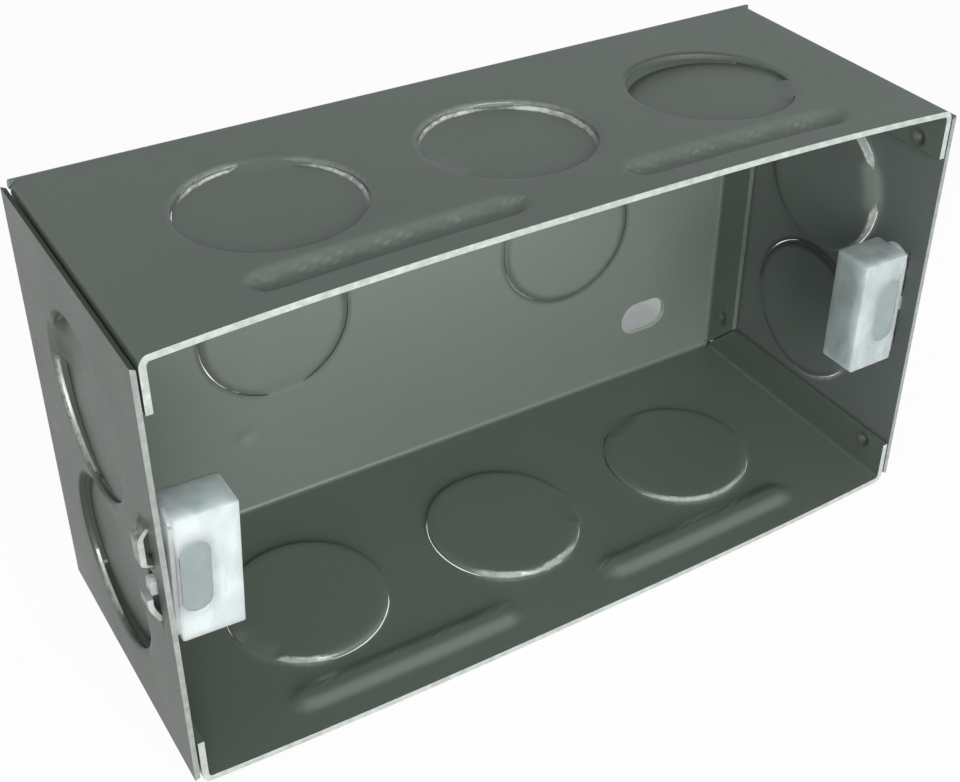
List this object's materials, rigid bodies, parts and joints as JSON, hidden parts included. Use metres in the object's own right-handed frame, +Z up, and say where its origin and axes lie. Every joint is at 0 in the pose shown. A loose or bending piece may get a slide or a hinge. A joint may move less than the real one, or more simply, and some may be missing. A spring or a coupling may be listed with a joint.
{
  "type": "metal modular wall box",
  "caption": "Long folded steel flush wall box for modular switches, open at the front, with round knockouts on every wall and a sliding nut holder at each end.",
  "frame": {"origin": "centre of the bounding box's floor: the middle of the length and depth, at the lowest point of the bowed bottom side", "axes": "+X along the length, +Y from the open front into the wall, +Z up across the height, as the picture shows it standing"},
  "size_m": [0.138, 0.0522, 0.0784],
  "materials": {
    "body_steel": "zinc-plated sheet, dull grey with a green cast, bright where it was sheared",
    "plate_steel": "zinc-plated sheet, dull warm grey, bright where it was sheared",
    "holder_plastic": "clear to milky moulded plastic",
    "nut_brass": "plain turned brass"
  },
  "bodies": {
    "root": {"box_body": "body_steel", "left_end_plate": "plate_steel", "right_end_plate": "plate_steel", "left_nut_holder": "holder_plastic", "right_nut_holder": "holder_plastic", "left_nut": "nut_brass", "right_nut": "nut_brass"}
  },
  "joints": []
}
